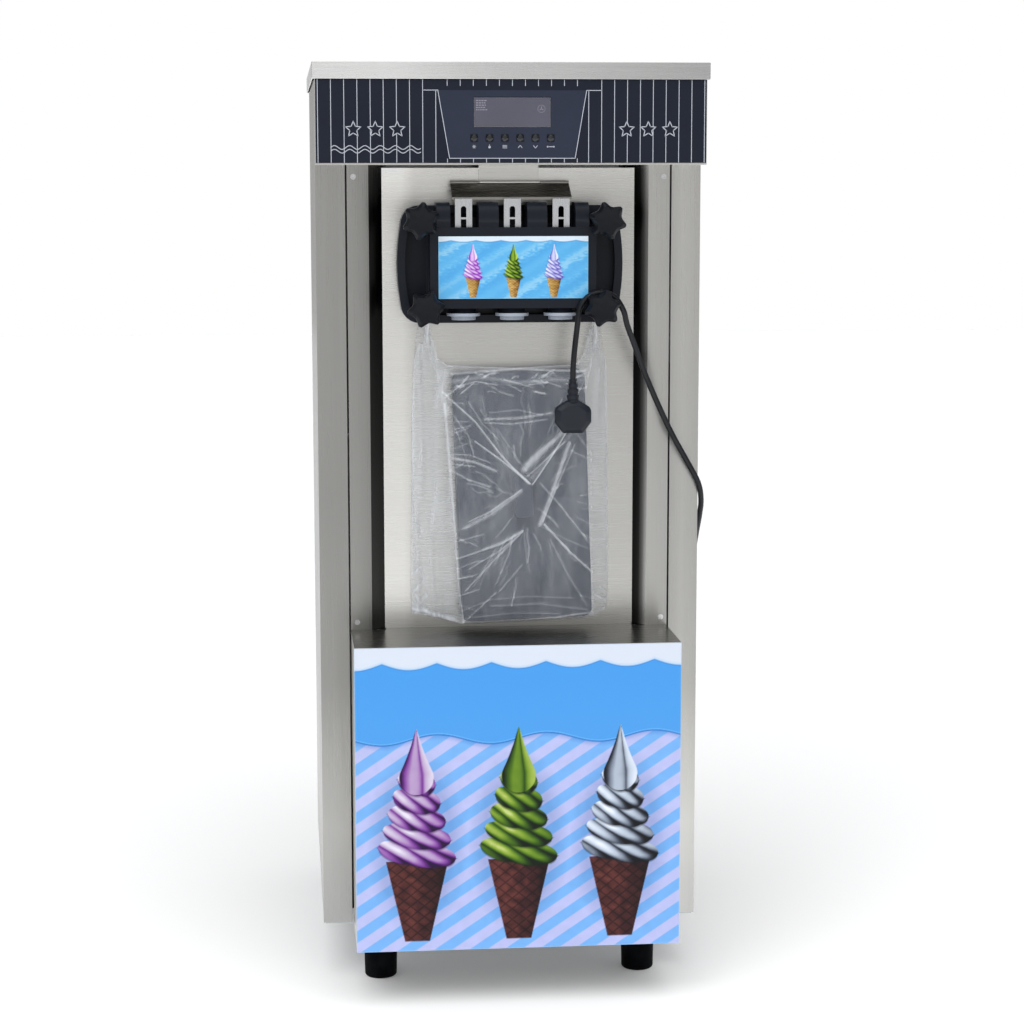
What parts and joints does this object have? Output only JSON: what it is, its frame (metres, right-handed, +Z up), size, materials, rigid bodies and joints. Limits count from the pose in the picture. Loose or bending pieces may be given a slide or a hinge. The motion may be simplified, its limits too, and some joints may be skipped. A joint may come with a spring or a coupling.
{
  "type": "soft serve ice cream machine",
  "caption": "Floor-standing stainless soft serve machine with a control header, a black dispensing head, a ledge over a printed lower panel, a bagged pair of lids and a power cord.",
  "frame": {"origin": "on the floor under the middle of the cabinet", "axes": "+Z up, -Y to the front with the dispensing head, +X to the right as seen from the front"},
  "size_m": [0.5547, 0.79, 1.3062],
  "materials": {
    "stainless": "brushed stainless sheet",
    "galvanised": "plain galvanised sheet",
    "bright_steel": "bright plated steel",
    "fascia_film": "printed navy film with thin white stripes",
    "display_glass": "grey liquid crystal window",
    "circuit_board": "green board",
    "button_black": "gloss black caps",
    "printed_panel": "printed picture film",
    "head_plastic": "satin black moulded plastic",
    "knob_plastic": "fine textured black plastic",
    "foot_rubber": "black rubber",
    "white_plastic": "white food grade plastic",
    "seal_silicone": "soft silicone",
    "foam": "rigid foam",
    "gear_brass": "cut teeth",
    "cast_housing": "painted casting",
    "motor_paint": "satin blue paint",
    "compressor_paint": "gloss black paint",
    "condenser_fins": "plain fins",
    "fan_plastic": "grey plastic",
    "belt_rubber": "ribbed rubber",
    "cord_rubber": "black cable sheath",
    "plug_plastic": "moulded black plug",
    "clear_film": "thin clear film",
    "cover_plastic": "dark grey moulded plastic"
  },
  "bodies": {
    "root": {"base_tray": "galvanised", "corner_posts": "galvanised", "mid_shelf": "galvanised", "left_side_panel": "stainless", "right_side_panel": "stainless", "rear_panel": "stainless", "front_panel": "stainless", "panel_screws": "bright_steel", "lower_box": "stainless", "decor_panel": "printed_panel", "feet": "foot_rubber", "header_box": "stainless", "control_fascia": "fascia_film", "display_window": "display_glass", "control_board": "circuit_board", "top_lid": "stainless", "hopper_left": "stainless", "hopper_right": "stainless", "freezing_cylinder_left": "stainless", "freezing_cylinder_right": "stainless", "cylinder_insulation": "foam", "gearbox_case": "cast_housing", "drive_belt": "belt_rubber", "drive_motor": "motor_paint", "compressor": "compressor_paint", "condenser": "condenser_fins", "fan_motor": "fan_plastic", "dispensing_head": "head_plastic", "head_picture": "printed_panel", "head_studs": "bright_steel", "head_seals": "seal_silicone", "nozzle_caps": "white_plastic", "micro_switches": "button_black", "power_cord": "cord_rubber", "plug": "plug_plastic", "cord_gland": "plug_plastic", "accessory_bag": "clear_film", "hopper_covers": "cover_plastic"},
    "beater_left": {"beater_left": "white_plastic", "drive_gear_left": "gear_brass"},
    "beater_right": {"beater_right": "white_plastic", "drive_gear_right": "gear_brass"},
    "gearbox_input": {"pinion_shaft": "gear_brass", "gearbox_pulley": "cast_housing"},
    "motor_shaft": {"motor_pulley": "cast_housing"},
    "fan": {"fan_blade": "fan_plastic"},
    "switch_flap": {"switch_flap": "stainless"},
    "button_1": {"button_1": "button_black"},
    "button_2": {"button_2": "button_black"},
    "button_3": {"button_3": "button_black"},
    "button_4": {"button_4": "button_black"},
    "button_5": {"button_5": "button_black"},
    "button_6": {"button_6": "button_black"},
    "knob_top_left": {"knob_top_left": "knob_plastic"},
    "knob_top_right": {"knob_top_right": "knob_plastic"},
    "knob_bottom_left": {"knob_bottom_left": "knob_plastic"},
    "knob_bottom_right": {"knob_bottom_right": "knob_plastic"},
    "draw_plunger_left": {"draw_plunger_left": "bright_steel"},
    "draw_plunger_center": {"draw_plunger_center": "bright_steel"},
    "draw_plunger_right": {"draw_plunger_right": "bright_steel"}
  },
  "joints": [
    {"name": "beater_left_spin", "type": "hinge", "parent": "root", "child": "beater_left", "pos_m": [-0.0675, 0, 1.029], "axis": [0, 1, 0], "continuous": true},
    {"name": "beater_right_spin", "type": "hinge", "parent": "root", "child": "beater_right", "pos_m": [0.0675, 0, 1.029], "axis": [0, 1, 0], "continuous": true},
    {"name": "gearbox_input_spin", "type": "hinge", "parent": "root", "child": "gearbox_input", "pos_m": [0, 0, 1.029], "axis": [0, 1, 0], "continuous": true},
    {"name": "motor_spin", "type": "hinge", "parent": "root", "child": "motor_shaft", "pos_m": [0, 0, 0.857], "axis": [0, 1, 0], "continuous": true},
    {"name": "fan_spin", "type": "hinge", "parent": "root", "child": "fan", "pos_m": [0.095, 0, 0.27], "axis": [0, 1, 0], "continuous": true},
    {"name": "switch_flap_lift", "type": "hinge", "parent": "root", "child": "switch_flap", "pos_m": [0, -0.217, 1.142], "axis": [-1, 0, 0], "range_deg": [0, 10]},
    {"name": "button_1_press", "type": "slide", "parent": "root", "child": "button_1", "axis": [0, 1, 0], "range_m": [0, 0.0012], "stiffness_N_per_m": 400, "springref_m": -0.0004},
    {"name": "button_2_press", "type": "slide", "parent": "root", "child": "button_2", "axis": [0, 1, 0], "range_m": [0, 0.0012], "stiffness_N_per_m": 400, "springref_m": -0.0004},
    {"name": "button_3_press", "type": "slide", "parent": "root", "child": "button_3", "axis": [0, 1, 0], "range_m": [0, 0.0012], "stiffness_N_per_m": 400, "springref_m": -0.0004},
    {"name": "button_4_press", "type": "slide", "parent": "root", "child": "button_4", "axis": [0, 1, 0], "range_m": [0, 0.0012], "stiffness_N_per_m": 400, "springref_m": -0.0004},
    {"name": "button_5_press", "type": "slide", "parent": "root", "child": "button_5", "axis": [0, 1, 0], "range_m": [0, 0.0012], "stiffness_N_per_m": 400, "springref_m": -0.0004},
    {"name": "button_6_press", "type": "slide", "parent": "root", "child": "button_6", "axis": [0, 1, 0], "range_m": [0, 0.0012], "stiffness_N_per_m": 400, "springref_m": -0.0004},
    {"name": "knob_top_left_turn", "type": "hinge", "parent": "root", "child": "knob_top_left", "pos_m": [-0.128, -0.215, 1.09], "axis": [0, 1, 0], "continuous": true},
    {"name": "knob_top_right_turn", "type": "hinge", "parent": "root", "child": "knob_top_right", "pos_m": [0.128, -0.215, 1.09], "axis": [0, 1, 0], "continuous": true},
    {"name": "knob_bottom_left_turn", "type": "hinge", "parent": "root", "child": "knob_bottom_left", "pos_m": [-0.1215, -0.215, 0.9705], "axis": [0, 1, 0], "continuous": true},
    {"name": "knob_bottom_right_turn", "type": "hinge", "parent": "root", "child": "knob_bottom_right", "pos_m": [0.1215, -0.215, 0.9705], "axis": [0, 1, 0], "continuous": true},
    {"name": "draw_plunger_left_lift", "type": "slide", "parent": "root", "child": "draw_plunger_left", "axis": [0, 0, 1], "range_m": [0, 0.018]},
    {"name": "draw_plunger_center_lift", "type": "slide", "parent": "root", "child": "draw_plunger_center", "axis": [0, 0, 1], "range_m": [0, 0.018]},
    {"name": "draw_plunger_right_lift", "type": "slide", "parent": "root", "child": "draw_plunger_right", "axis": [0, 0, 1], "range_m": [0, 0.018]}
  ],
  "couplings": [
    {"joint": "beater_right_spin", "follows": "beater_left_spin", "ratio": 1},
    {"joint": "gearbox_input_spin", "follows": "beater_left_spin", "ratio": -4},
    {"joint": "motor_spin", "follows": "beater_left_spin", "ratio": -8}
  ]
}
